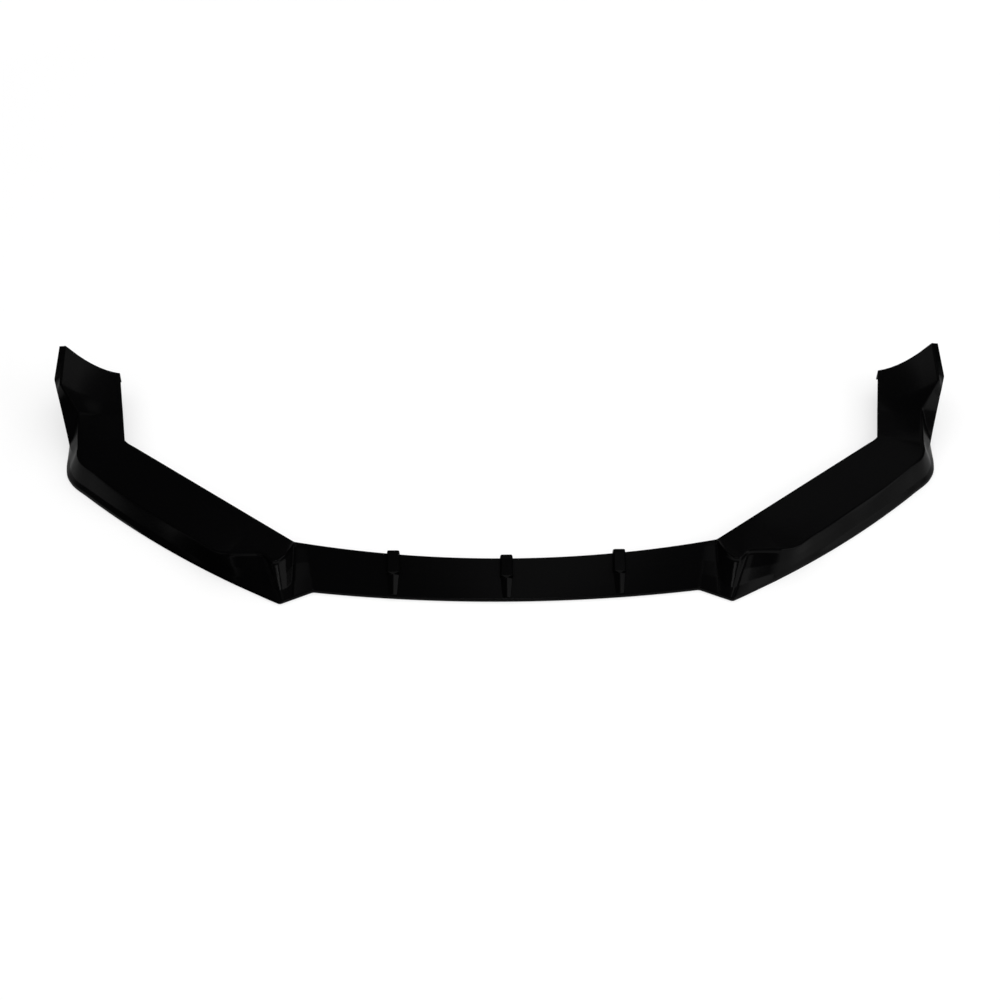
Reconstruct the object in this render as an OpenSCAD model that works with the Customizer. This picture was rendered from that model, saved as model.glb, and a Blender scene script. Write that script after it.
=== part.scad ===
// Front splitter lip: one thin-walled black moulding. Millimetres, +X across the car, -Y to the front,
// +Z up. The origin is the middle of the footprint, on the plane that the lower flange lies in.
// The shape is a skin stretched over guide curves that run from the middle out to each wheel arch.

/* [Wall] */
// Wall of the moulding
wall = 3; // [2.5:0.25:4]
// Height of the blunt front edge
edge_h = 7; // [5:0.5:10]
// Chamfer that stands for the radius under the front edge
edge_chamfer = 1.5; // [0.8:0.1:2.5]
// Run of the fillet inside the front edge
heel = 3; // [2:0.25:5]

/* [Centre strip] */
// Plan radius of the strip's front edge
front_r = 2500; // [1900:20:4000]
// Plan radius of the strip's rear edge
seat_r = 2290; // [1900:20:4000]
// Depth of the strip on the centre line
strip_depth = 68; // [50:1:90]
// Height of the strip's rear edge on the centre line
strip_h = 46; // [34:1:60]
// Half-width of the strip's front edge, up to where it turns down to the fang
strip_half_w = 359; // [300:1:380]
// How much further out the strip's rear edge runs than its front edge
strip_flare = 12; // [6:1:18]
// Lean of the blunt front edge
edge_lean = 0.5; // [0:0.1:1.5]

/* [Fangs and pads] */
// Distance of each fang's point from the centre line
fang_x = 418.5; // [400:0.5:450]
// How far the point reaches ahead of the strip's corner
fang_reach = 28; // [10:1:45]
// Width of the blunt point
fang_w = 4; // [3:0.5:12]
// Distance of the pad's inboard end from the centre line
pad_x = 394; // [385:1:405]
// Height of the pad's front edge
pad_h = 62; // [55:1:75]
// Height of the step round the pad
pad_step = 8; // [4:0.5:12]
// Run of the step, here and along the blades
step_run = 2; // [1.5:0.25:4]
// Height of the step where the pad has run out into the blade
blade_step = 1.2; // [0.6:0.1:2.5]
// Rise of the inner edge at the pad's inboard end
pad_rise = 1; // [0:0.5:3]
// Distance of the pad's nose from the centre line
nose_x = 427; // [422:1:432]
// Distance of the nose behind the strip's front edge on the centre line
nose_y = 51; // [44:1:58]
// Width of the nose's rounding
nose_w = 12; // [8:1:16]
// Distance from the nose to the bend inboard of it
nose_bend = 18.5; // [14:0.5:22]
// Distance from the centre line at which the fang's ridge meets the pad
ridge_x = 449.5; // [445:0.5:454]
// Distance of the pad's front edge behind the strip's front edge
pad_y = 71.5; // [64:0.5:78]
// Width of the fang's ridge where it meets the pad
ridge_w = 4; // [3:0.5:8]
// Distance from that ridge to the start of the pad's straight front edge
pad_lead = 12.5; // [9:0.5:18]
// Length of the pad's straight front edge
pad_len = 50; // [35:1:70]
// Rounding of the pad's inboard end
pad_round = 5; // [3:0.5:7]

/* [Side blades] */
// Height of the inner edge that meets the bumper
seat_h = 57; // [50:1:68]
// Angle by which the inner edge sweeps back
sweep = 38.4; // [34:0.2:42]
// Length of the swept inner edge
seat_len = 447; // [400:1:480]
// Plan radius of the blade's lower edge
side_r = 1900; // [1400:20:3000]
// Angle of the lower edge just outboard of the fang
side_start = 28.5; // [25:0.5:32]
// Half-width over the corners, where the lower wall turns back
corner_half_w = 863.5; // [840:0.5:890]
// Plan radius of the corner
corner_r = 78; // [50:1:110]
// Run of the blade face halfway along the side
blade_run = 28; // [20:1:34]
// Run of the blade face at the start of the corner
corner_run = 25; // [18:1:32]
// Height of the crease above the blade halfway along the side
blade_h = 43; // [36:1:52]
// Run of the lower wall behind the corner
wall_run = 31; // [22:1:38]
// Height of the crease at the corner
corner_h = 56; // [48:1:66]
// Rise of the crease round each half of the corner
corner_rise = 3; // [1:0.5:5]
// Fullness of the lower wall below the crease at the corner
corner_bulge = 1; // [0:0.25:2]

/* [Arms and canards] */
// Depth from the strip's front edge to the wheel-arch cut
arm_reach = 585; // [540:1:640]
// Width of the arm at the wheel-arch cut, from its inner edge to the crest
arm_w = 99.5; // [80:0.5:115]
// Fall of the arm's inner edge from the elbow to the wheel-arch cut
arm_fall = 1; // [0:0.5:6]
// Plan radius at the elbow between the swept inner edge and the arm
elbow_r = 22; // [12:1:40]
// Angle by which the lower wall runs outwards
wall_splay = 3.5; // [1:0.5:6]
// Height of the crest at the wheel-arch cut
crest_h = 130; // [115:1:145]
// Height of the crest above the canard
crest_front_h = 118; // [108:1:135]
// Half-width over the crests
crest_half_w = 880; // [865:1:890]
// Sag of the dished arm at the wheel-arch cut
dish = 14; // [8:0.5:20]
// Sag of the dished arm where the crest begins
dish_front = 14.5; // [8:0.5:20]
// Width of the folded rim at the wheel-arch cut
rim_w = 13; // [8:0.5:18]
// Fall of the folded rim across its width at the wheel-arch cut
rim_fall = 1.5; // [0:0.5:4]
// Width of the crest's flat top
crest_w = 4; // [3:0.5:7]
// Height by which the crest's flat top falls outwards
crest_fall = 1; // [0.5:0.25:2]
// Distance of the crest's front end inside its rear end
crest_front_in = 5; // [2:0.5:8]
// Distance of the crest's front end ahead of the canard's widest point
crest_lead = 22; // [16:1:28]
// Half-width over the canards
canard_half_w = 894; // [885:1:905]
// Distance from the front to the canard's widest point
canard_y = 505; // [490:1:530]
// Distance from the front to the canard's lower corner
canard_low_y = 390; // [375:1:405]
// Height of the canard's lower corner
canard_low_h = 33; // [25:1:42]
// Distance of that corner inside the lower wall
canard_low_in = 7.5; // [4:0.5:14]
// Drop of the canard's widest point below the crest
tip_drop = 9; // [5:0.5:14]
// Distance from the front to the foot of the ridge above the canard
brow_y = 444; // [430:1:455]
// Height of the foot of that ridge
brow_h = 75; // [66:1:85]
// Distance of the foot inside the corner's half-width
brow_in = 22.5; // [16:0.5:28]
// Distance that the crease runs outwards up to that foot
brow_run = 5; // [2:0.5:8]
// Height that the crease gains up to that foot
brow_rise = 8; // [4:0.5:12]
// Depth of the canard's root below its lower corner
root_low = 6; // [4:0.5:9]
// Depth of the root halfway up to the foot of the ridge
root_mid = 10; // [7:0.5:14]
// Depth of the root below the foot of the ridge
root_high = 22; // [16:1:28]
// Height of the outer face below the crest and the canard's tip
edge_face = 14; // [10:1:18]
// Height of the lower wall's bottom edge at the wheel-arch cut
tail_h = 34; // [15:1:45]

/* [Fins] */
// Distance between neighbouring fins
fin_pitch = 210; // [180:1:250]
// Width of a fin's block
fin_w = 23; // [16:1:30]
// Height of the block above the strip
fin_h = 11; // [7:1:16]
// Width of the keel at the front edge
keel_w = 14; // [9:1:20]
// Height of the keel at the front edge
keel_h = 5; // [3:0.5:8]
// Width of the sharp ridge along the keel
keel_top = 2; // [1:0.5:3]
// Width that a fin's block loses between its shoulders and its flat top
fin_slope = 5; // [3:0.5:8]
// Height of those shoulders below the top
fin_bevel = 2; // [1:0.5:3]
// How far the tab stands behind the strip's rear edge
fin_tab = 5; // [3:0.5:10]

/* [Lower flange and screw holes] */
// Depth of the flange under the centre strip
flange_mid = 92; // [80:1:105]
// Depth of the flange under the sides
flange_side = 60; // [45:1:75]
// Depth of the flange at the wheel-arch cut
flange_arm = 26; // [18:1:40]
// Distance from the flange's free edge to the middle of a screw hole
hole_edge = 12; // [9:0.5:18]
// Diameter of the screw holes
hole_d = 5.5; // [4:0.25:7]
// Drop of the return below the wheel-arch cut
return_h = 22; // [16:1:30]

/* [Hidden] */

// Shares of a whole: of the front sag where the crest begins, of the canard's width up to its root, of the
// outer face's height that it leans in, of the lower wall down to the crease's foot, of the flange that a
// gusset covers, of the return down to its screw hole
dish_fill = 0.6;
root_share = 0.6;
face_lean = 0.4;
foot_share = 0.1;
gusset_share = 0.7;
hole_share = 0.55;
// Shares of the strip's slope: the skin's points, the front end and the start of a keel, the end of a
// fin's block; then the share of the keel's height that its sides take up
strip_stops = [0.06, 0.09, 0.4, 0.7];
keel_end = 0.96;
keel_start = 0.5;
block_end = 0.45;
keel_side = 0.2;
third = 1 / 3;

function mix(a, b, u) = a * (1 - u) + b * u;
function unit(v) = v / norm(v);
function flat(p, z) = [p.x, p.y, z];

// Lower edge: middle arc, fang, side arc, corner and wall
function strip_front_y(x) = front_r - sqrt(front_r * front_r - x * x);
function strip_rear_y(x) = strip_depth + seat_r - sqrt(seat_r * seat_r - x * x);
fang_y = strip_front_y(strip_half_w) - fang_reach;
fang_in = [fang_x - fang_w / 2, fang_y, 0];
fang_out = [fang_x + fang_w / 2, fang_y, 0];
corner_turn = 90 - wall_splay;
function side_angle(x) = asin(sin(side_start) + (x - fang_out.x) / side_r);
// The corner arc starts where the side arc meets the corner's tangent circle, found by a few corrections
function corner_start(x, n) =
    n == 0 ? x : corner_start(corner_half_w - corner_r * (sin(corner_turn) - sin(side_angle(x))), n - 1);
corner_x = corner_start(corner_half_w - corner_r / 3, 3);
function side_point(x) =
    [x, fang_out.y + side_r * (cos(side_start) - cos(side_angle(x))), 0];
function side_at(u) = side_point(mix(fang_out.x, corner_x, u));
function corner_at(u) =
    let (a = side_angle(corner_x), b = mix(a, corner_turn, u))
    side_point(corner_x) + corner_r * [sin(b) - sin(a), cos(a) - cos(b), 0];
function wall_at(y) =
    let (p = corner_at(1), u = max(0, (y - brow_y) / (arm_reach - brow_y)))
    [p.x + (y - p.y) * tan(wall_splay), y, tail_h * u * u];

// Inner edge: rear of the strip, swept seat and arm
pad_end = [pad_x, strip_rear_y(pad_x), seat_h + pad_rise];
elbow = pad_end + [seat_len * cos(sweep), seat_len * sin(sweep), -pad_rise];
function seat_at(u) = mix(pad_end, elbow, u);
arm_end = [crest_half_w - arm_w, arm_reach, seat_h - arm_fall];
function arm_at(u) = mix(elbow, arm_end, u);
elbow_cut = elbow_r * tan((90 - sweep - atan2(arm_end.x - elbow.x, arm_end.y - elbow.y)) / 2);
elbow_in = elbow + unit(pad_end - elbow) * elbow_cut;
elbow_out_u = elbow_cut / norm(arm_end - elbow);

// Crease offset inwards from the lower edge
function inward(x, run, h) =
    let (a = side_angle(x), p = side_point(x)) [p.x - run * sin(a), p.y + run * cos(a), h];
function blade_x(u) = mix(fang_out.x, corner_x, u);

canard_tip = [canard_half_w, canard_y, crest_front_h - tip_drop];
canard_low = [wall_at(canard_low_y).x - canard_low_in, canard_low_y, canard_low_h];
crest_foot = [corner_half_w - brow_in, brow_y, brow_h];
crest_top = [crest_half_w - crest_front_in, canard_y - crest_lead, crest_front_h];
crest_end = [crest_half_w, arm_reach, crest_h];
rim_drop = [crest_w, 0, -crest_fall];
function canard_edge(y) =
    mix(canard_low, canard_tip, (y - canard_low_y) / (canard_y - canard_low_y));
function brow_line(y) = mix(canard_low, crest_foot, (y - canard_low_y) / (brow_y - canard_low_y));

// A key row holds: inner edge, crease, foot of the step, canard edge, canard root, lower edge, sag of the
// dish, depth of the flange and the number of spans up to the next row
function strip_top(x) = [x, strip_front_y(x) + edge_lean, edge_h];
function strip_rear(x) =
    [x, strip_rear_y(x), mix(strip_h, seat_h + pad_rise, x * x / (pad_x * pad_x))];
function strip_row(x_rear, low) =
    let (rear = strip_rear(x_rear), top = low + [0, edge_lean, edge_h])
    [rear, each [for (u = strip_stops) mix(rear, top, u)], low, 0, flange_mid, 1];
function side_row(seat, ridge, low, step, spans) =
    let (foot = ridge + unit(flat(low - ridge, 0)) * step_run - [0, 0, step])
    [seat, ridge, foot, mix(foot, low, third), mix(foot, low, 2 * third), low, 0, flange_side, spans];
function pad_row(seat_u, x, y, low, spans, step = pad_step) =
    side_row(seat_at(seat_u), [x, y, pad_h], low, step, spans);
function blade_row(seat_u, blade_u, run, h, spans, step = blade_step) =
    side_row(seat_at(seat_u), inward(blade_x(blade_u), run, h), side_at(blade_u), step, spans);
function corner_row(seat, turn_u, run, h, spans, sag) =
    let (low = corner_at(turn_u), a = mix(side_angle(corner_x), corner_turn, turn_u),
         ridge = [low.x - run * sin(a), low.y + run * cos(a), h],
         foot = mix(ridge, low, foot_share) + [0, 0, corner_bulge])
    [seat, ridge, foot, mix(foot, low, third), mix(foot, low, 2 * third), low, sag, flange_side, spans];
// An arm row's seat point, sag and flange follow from how far along the arm it lies
function arm_u(y) = (y - corner_at(1).y) / (arm_reach - corner_at(1).y);
function arm_sag(u) =
    let (crest_u = arm_u(crest_top.y))
    u < crest_u ? dish_fill * dish_front * u / crest_u : mix(dish_front, dish, (u - crest_u) / (1 - crest_u));
function arm_row(y, ridge, foot, edge, root, spans) =
    [arm_at(mix(elbow_out_u, 1, arm_u(y))), ridge, foot, edge, root, wall_at(y), arm_sag(arm_u(y)),
     mix(flange_side, flange_arm, arm_u(y)), spans];
function root_under(edge, foot, drop) = mix(edge, foot, root_share) - [0, 0, drop];
function rim_root(edge) = edge - [edge_face * face_lean, 0, edge_face];

strip_corner = [strip_half_w, strip_front_y(strip_half_w), 0];
function fang_front(u) = mix(strip_corner, fang_in, u);
strip_steps = 10;
pad_side = [pad_x + pad_round / 4, pad_end.y - pad_round];
pad_bend = [nose_x - nose_bend, mix(nose_y, pad_end.y, 0.28)];
pad_start = ridge_x + pad_lead;
nose_side = nose_w / 2;
brow_mid_y = (canard_low_y + brow_y) / 2;
brow_low = [crest_foot.x - brow_run, canard_low_y, brow_h - brow_rise];
brow_mid = mix(brow_low, crest_foot, 0.5);
crest_mid = mix(crest_top, crest_end, 0.2);
rim_end = crest_end + [rim_w, 0, -rim_fall];
// Pad and blade rows start with their shares of the swept inner edge and of the lower edge
rows = concat(
    [for (i = [0:strip_steps]) let (u = i / strip_steps)
        strip_row(u * (strip_half_w + strip_flare), [u * strip_half_w, strip_front_y(u * strip_half_w), 0])],
    [strip_row(pad_x - pad_round / 2, fang_front(0.62)),
     pad_row(0, pad_side.x, pad_side.y, fang_front(0.66), 1),
     pad_row(0.01, mix(pad_side.x, pad_bend.x, 0.3), mix(pad_side.y, pad_bend.y, 0.38), fang_front(0.74), 1),
     pad_row(0.025, pad_bend.x, pad_bend.y, fang_front(0.82), 1),
     pad_row(0.045, nose_x - nose_side, mix(nose_y, pad_y, 0.05), fang_front(0.9), 1),
     pad_row(0.07, nose_x + nose_side, nose_y, fang_front(0.95), 1),
     pad_row(0.08, mix(nose_x + nose_side, ridge_x, 0.6), mix(nose_y, pad_y, 0.57), fang_front(0.98), 1,
        pad_step * 1.2),
     pad_row(0.09, ridge_x - ridge_w / 2, mix(nose_y, pad_y, 0.77), fang_in, 1, pad_step * 1.4),
     pad_row(0.11, ridge_x + ridge_w / 2, mix(nose_y, pad_y, 0.9), fang_out, 1),
     pad_row(0.14, pad_start, pad_y, side_at(0.05), 3),
     pad_row(0.21, pad_start + pad_len, pad_y, side_at(0.2), 2),
     blade_row(0.27, 0.28, blade_run * 0.46, mix(pad_h, blade_h, 0.2), 3, pad_step / 2),
     blade_row(0.4, 0.4, blade_run * 0.7, mix(pad_h, blade_h, 0.6), 3),
     blade_row(0.61, 0.61, blade_run, blade_h, 4),
     blade_row(0.83, 0.81, mix(blade_run, corner_run, 0.5), mix(blade_h, corner_h, 0.3), 3),
     blade_row(0.94, 0.93, corner_run, mix(blade_h, corner_h, 0.7), 2),
     corner_row(elbow_in, 0.2, corner_run, corner_h, 2, 0),
     corner_row(arm_at(elbow_out_u / 2), 0.6, mix(corner_run, wall_run, 0.5), corner_h + corner_rise, 2, 0),
     corner_row(arm_at(elbow_out_u), 1, wall_run, corner_h + 2 * corner_rise, 2, 0),
     arm_row(canard_low_y, brow_low, mix(brow_low, canard_low, 0.85), canard_low,
        root_under(canard_low, canard_low, root_low), 2),
     arm_row(brow_mid_y, brow_mid, brow_line(brow_mid_y), canard_edge(brow_mid_y),
        root_under(canard_edge(brow_mid_y), brow_line(brow_mid_y), root_mid), 2),
     arm_row(brow_y, crest_foot, crest_foot + rim_drop, canard_edge(brow_y),
        root_under(canard_edge(brow_y), crest_foot, root_high), 3),
     arm_row(crest_top.y, crest_top, crest_top + rim_drop, canard_edge(crest_top.y),
        rim_root(canard_edge(crest_top.y)), 2),
     arm_row(canard_y, crest_mid, crest_mid + rim_drop, canard_tip, rim_root(canard_tip), 4),
     arm_row(arm_reach, crest_end, crest_end + rim_drop, rim_end, rim_root(rim_end), 1)]);
first_side = strip_steps + 2;
last = len(rows) - 1;
// Rows at which the guide curves turn abruptly: all as far as the pad's front edge, then some on the arm
tail_rows = [last - 5, last - 3, last - 2, last - 1, last];
function is_sharp(i) = i <= first_side + 9 || len([for (k = tail_rows) if (k == i) k]) > 0;

// Smooth curve through the key points, with its direction broken at the sharp rows
function chord(c, i) = rows[i + 1][c] - rows[i][c];
function along(c, i) = unit(chord(c, i));
function smooth_dir(c, i) =
    let (a = norm(chord(c, i - 1)), b = norm(chord(c, i))) (along(c, i - 1) * b + along(c, i) * a) / (a + b);
function dir_out(c, i) = is_sharp(i) ? along(c, i) : smooth_dir(c, i);
function dir_in(c, i) = is_sharp(i) ? along(c, i - 1) : smooth_dir(c, i);
function span(c, i, u) =
    let (len = norm(chord(c, i)), w = 1 - u)
    rows[i][c] * w * w * (1 + 2 * u) + rows[i + 1][c] * u * u * (1 + 2 * w)
    + (dir_out(c, i) * w - dir_in(c, i + 1) * u) * len * u * w;

SEAT = 0;
RIDGE = 1;
LOW = 5;
SAG = 6;
FLANGE = 7;
SPANS = 8;
dish_steps = 4;
// Outer skin of one section, from the inner edge to the top of the front edge
function skin(seat, ridge, mids, low, sag) = concat(
    [for (k = [0:dish_steps]) let (f = k / dish_steps) mix(seat, ridge, f) - [0, 0, 4 * sag * f * (1 - f)]],
    mids,
    [low + unit(flat(seat - low, 0)) * edge_lean + [0, 0, edge_h]]);
function section_at(i, u) =
    [skin(span(SEAT, i, u), span(RIDGE, i, u), [for (c = [2:4]) span(c, i, u)], span(LOW, i, u),
        mix(rows[i][SAG], rows[i + 1][SAG], u)),
     span(LOW, i, u),
     mix(rows[i][FLANGE], rows[i + 1][FLANGE], u)];
half = concat(
    [for (i = [0:last - 1]) for (k = [0:rows[i][SPANS] - 1]) section_at(i, k / rows[i][SPANS])],
    [section_at(last - 1, 1)]);
function mirrored(p) = [-p.x, p.y, p.z];
function mirrored_section(s) = [[for (p = s[0]) mirrored(p)], mirrored(s[1]), s[2]];
sections = concat([for (i = [len(half) - 1:-1:1]) mirrored_section(half[i])], half);

// Inner skin: each point of the outer skin moved in, so that the wall keeps its thickness round the creases
m = len(sections[0][0]);
n = len(sections);
function skin_normal(i, j) =
    let (p = sections[min(i + 1, n - 1)][0][j] - sections[max(i - 1, 0)][0][j], s = sections[i][0],
         a = unit(cross(s[max(j, 1)] - s[max(j, 1) - 1], p)),
         b = unit(cross(s[min(j + 1, m - 1)] - s[min(j + 1, m - 1) - 1], p)), v = unit(a + b))
    (i == 0 || i == n - 1 ? unit([v.x, 0, v.z]) : v) / (v * a);
function loop_at(i) =
    let (s = sections[i], low = s[1], back = unit(flat(s[0][0] - low, 0)))
    concat(
        s[0],
        [low + [0, 0, edge_chamfer], low + back * edge_chamfer, low + back * s[2],
         low + back * s[2] + [0, 0, wall], low + back * (wall + heel) + [0, 0, wall]],
        [for (j = [m - 2:-1:0]) s[0][j] - wall * skin_normal(i, j)]);
loops = [for (i = [0:n - 1]) loop_at(i)];

size = len(loops[0]);
middle = len(half) - 1;
middle_y = (min(0, fang_y) + arm_reach) / 2;

// Fastening: screw holes near the rear of the lower flange, and one in each wheel-arch return
function strip_hole(x) = [x, strip_front_y(x) + flange_mid - hole_edge];
function side_hole(u) =
    let (low = side_at(u), back = unit(flat(seat_at(u) - low, 0))) low + back * (flange_side - hole_edge);
hole_points = [strip_hole(fin_pitch / 2), strip_hole(fin_pitch * 1.5), side_hole(0.5), side_hole(0.85)];
arch_hole_at = (loops[n - 1][2] + loops[n - 1][size - 3]) / 2 - [0, 0, return_h * hole_share];
gusset_steps = [6, 23, 27, 33, 38];
function side_faces(count, rings) =
    [for (i = [0:rings - 2]) for (j = [0:count - 1])
        let (a = i * count + j, b = i * count + (j + 1) % count, c = a + count, d = b + count)
        each [[a, d, b], [a, c, d]]];
function cap_faces(flip, base) =
    let (tris = concat(
        [for (j = [0:m - 3]) each [[j, j + 1, size - 1 - j], [j + 1, size - 2 - j, size - 1 - j]]],
        [[m - 2, m - 1, m + 5], [m - 1, m + 4, m + 5], [m - 1, m, m + 4], [m, m + 1, m + 4],
         [m + 1, m + 2, m + 3], [m + 1, m + 3, m + 4]]))
    [for (t = tris) [for (k = flip ? [2, 1, 0] : [0, 1, 2]) base + t[k]]];

// Closed solid through a list of rings that all have the same number of points
module loft(rings) {
    count = len(rings[0]);
    polyhedron(
        points = [for (r = rings) each r],
        faces = concat(side_faces(count, len(rings)), [[for (j = [0:count - 1]) j]],
            [[for (j = [count - 1:-1:0]) (len(rings) - 1) * count + j]]),
        convexity = 4);
}

module shell() {
    polyhedron(
        points = [for (l = loops) each l],
        faces = concat(side_faces(size, n), cap_faces(false, 0), cap_faces(true, (n - 1) * size)),
        convexity = 10);
}

// Upright fin on the strip: a flat-topped block with a tab behind the rear edge, then a keel with a sharp
// ridge that runs down to the front edge. Its rings stand square to the strip, given by distance down the
// slope, and each has a base, a shoulder and a top.
module fin(x) {
    rear = strip_rear(x);
    slope = strip_top(x) - rear;
    down = unit(slope);
    out = unit(cross([1, 0, 0], -down));
    reach = norm(slope);
    function ring(t, shoulder, shoulder_h, top, h) =
        [for (q = [[-shoulder / 2 - 1, -wall / 2], [-shoulder / 2, shoulder_h], [-top / 2, h], [top / 2, h],
                   [shoulder / 2, shoulder_h], [shoulder / 2 + 1, -wall / 2]])
            rear + down * t + [q.x, 0, 0] + out * q.y];
    top_w = fin_w - fin_slope;
    shoulder_h = fin_h - fin_bevel;
    loft([ring(reach * keel_end, keel_w, keel_h * keel_side, keel_top, keel_h),
        ring(reach * keel_start, fin_w - fin_bevel, fin_bevel, keel_top, shoulder_h),
        ring(reach * block_end, fin_w, shoulder_h, top_w, fin_h),
        ring(fin_bevel, fin_w, shoulder_h, top_w, fin_h),
        ring(-fin_tab, fin_w - fin_bevel, shoulder_h - fin_bevel, top_w - fin_bevel,
            fin_h - fin_bevel * 3 / 4)]);
}

// Gusset in the corner between the skin and the lower flange, on section i
module gusset(i) {
    outer = loops[i];
    function mid(j) = (outer[j] + outer[size - 1 - j]) / 2;
    low = sections[i][1];
    back = unit(flat(sections[i][0][0] - low, 0));
    across = cross([0, 0, 1], back) * wall / 2;
    lift = [0, 0, wall / 2];
    profile = [low + back * sections[i][2] * gusset_share + lift, low + back * wall + lift, mid(m - 2),
        mid(m - 3), mid(m - 4)];
    loft([[for (p = profile) p - across], [for (p = profile) p + across]]);
}

// Return flange below the wheel-arch cut, which hangs from the dished arm
module arch_return(side) {
    function rung(j) =
        let (p = (loops[n - 1][j] + loops[n - 1][size - 1 - j]) / 2, q = [side * p.x, p.y, p.z])
        [q, q - [0, wall, 0], q - [0, wall, return_h], q - [0, 0, return_h]];
    rungs = [for (j = [0:dish_steps]) rung(j)];
    loft(side > 0 ? rungs : [for (j = [dish_steps:-1:0]) rungs[j]]);
}

module screw_hole(p) {
    translate(p - [0, 0, wall]) cylinder(d = hole_d, h = 3 * wall, $fn = 32);
}

module arch_hole(side) {
    translate([side * arch_hole_at.x, arm_reach + wall, arch_hole_at.z]) rotate([90, 0, 0])
        cylinder(d = hole_d, h = 3 * wall, $fn = 32);
}

module splitter_lip() {
    color([0.05, 0.05, 0.055]) translate([0, -middle_y, 0]) difference() {
        union() {
            shell();
            for (k = [-1:1]) fin(k * fin_pitch);
            for (i = gusset_steps) {
                gusset(middle + i);
                gusset(middle - i);
            }
            for (side = [-1, 1]) arch_return(side);
        }
        for (side = [-1, 1], p = hole_points) screw_hole([side * p.x, p.y, 0]);
        for (side = [-1, 1]) arch_hole(side);
    }
}

splitter_lip();
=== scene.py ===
"""Front splitter lip: the finished look of one satin-gloss black moulding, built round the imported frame."""
import logging
import math
from dataclasses import dataclass, field
from enum import Enum
from typing import TypeVar

import bmesh
import bpy
import numpy as np
from mathutils import Matrix, Vector
from mathutils.geometry import tessellate_polygon


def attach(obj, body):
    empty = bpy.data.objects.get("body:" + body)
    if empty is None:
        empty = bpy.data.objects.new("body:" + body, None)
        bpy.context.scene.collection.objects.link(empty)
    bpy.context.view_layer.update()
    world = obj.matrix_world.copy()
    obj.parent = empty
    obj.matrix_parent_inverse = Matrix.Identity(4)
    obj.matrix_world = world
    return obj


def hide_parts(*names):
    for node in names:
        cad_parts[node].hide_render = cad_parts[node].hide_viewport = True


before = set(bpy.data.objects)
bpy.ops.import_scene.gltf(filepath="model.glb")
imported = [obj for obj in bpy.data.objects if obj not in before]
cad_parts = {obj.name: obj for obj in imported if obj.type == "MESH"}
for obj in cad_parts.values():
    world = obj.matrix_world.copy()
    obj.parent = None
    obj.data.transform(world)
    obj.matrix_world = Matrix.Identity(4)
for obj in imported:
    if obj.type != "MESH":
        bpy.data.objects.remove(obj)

LOG = logging.getLogger("splitter_lip")
BODY = "root"
CAD_NODE = "splitter_lip"
MM = 0.001
CORNER_TRIES = 3
SHARP_ANGLE = 32.0
ROUND_LIMIT = 0.45
GRAIN_DETAIL = 2.0
PEEL_DETAIL = 1.0
SHEEN_SCALE = 9.0
SHEEN_DETAIL = 3.0
SHEEN_FROM = 0.35
SHEEN_TO = 0.65
WHITE = (1.0, 1.0, 1.0, 1.0)
BLACK = (0.0, 0.0, 0.0, 1.0)
Blend = TypeVar("Blend", float, np.ndarray)


class Corner(Enum):
    """The guide curves that run from the middle of the lip out to each wheel arch."""

    SEAT = 0
    CREASE = 1
    FOOT = 2
    EDGE = 3
    ROOT = 4
    LOW = 5


class Side(Enum):
    """Which half of the lip a mirrored piece belongs to."""

    LEFT = -1
    RIGHT = 1


def mix(a: Blend, b: Blend, u: float) -> Blend:
    """Blend a into b as u goes from 0 to 1."""
    return a * (1 - u) + b * u


def unit(v: np.ndarray) -> np.ndarray:
    """Scale vectors to length 1 along their last axis."""
    return v / np.linalg.norm(v, axis=-1, keepdims=True)


def point(x: float, y: float, z: float) -> np.ndarray:
    """Make a point in millimetres."""
    return np.array([x, y, z], dtype=float)


def flat(p: np.ndarray) -> np.ndarray:
    """Drop a vector onto the level plane."""
    return np.array([p[0], p[1], 0.0])


def thirds(start: np.ndarray, end: np.ndarray) -> list[np.ndarray]:
    """Four points from start to end, a third of the way apart."""
    return [mix(start, end, k / 3) for k in range(4)]


def sin_deg(angle: float) -> float:
    """Sine of an angle in degrees."""
    return math.sin(math.radians(angle))


def cos_deg(angle: float) -> float:
    """Cosine of an angle in degrees."""
    return math.cos(math.radians(angle))


@dataclass(frozen=True)
class KeyRow:
    """One key section of the lip.

    points holds the six guide points in the order of Corner, sag the depth of the dish, flange the
    depth of the lower flange, roll how far the crease's rounding reaches onto the plateau, and sharp
    whether the guide curves turn abruptly there.
    """

    points: np.ndarray
    sag: float
    flange: float
    roll: float
    sharp: bool = False


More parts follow.
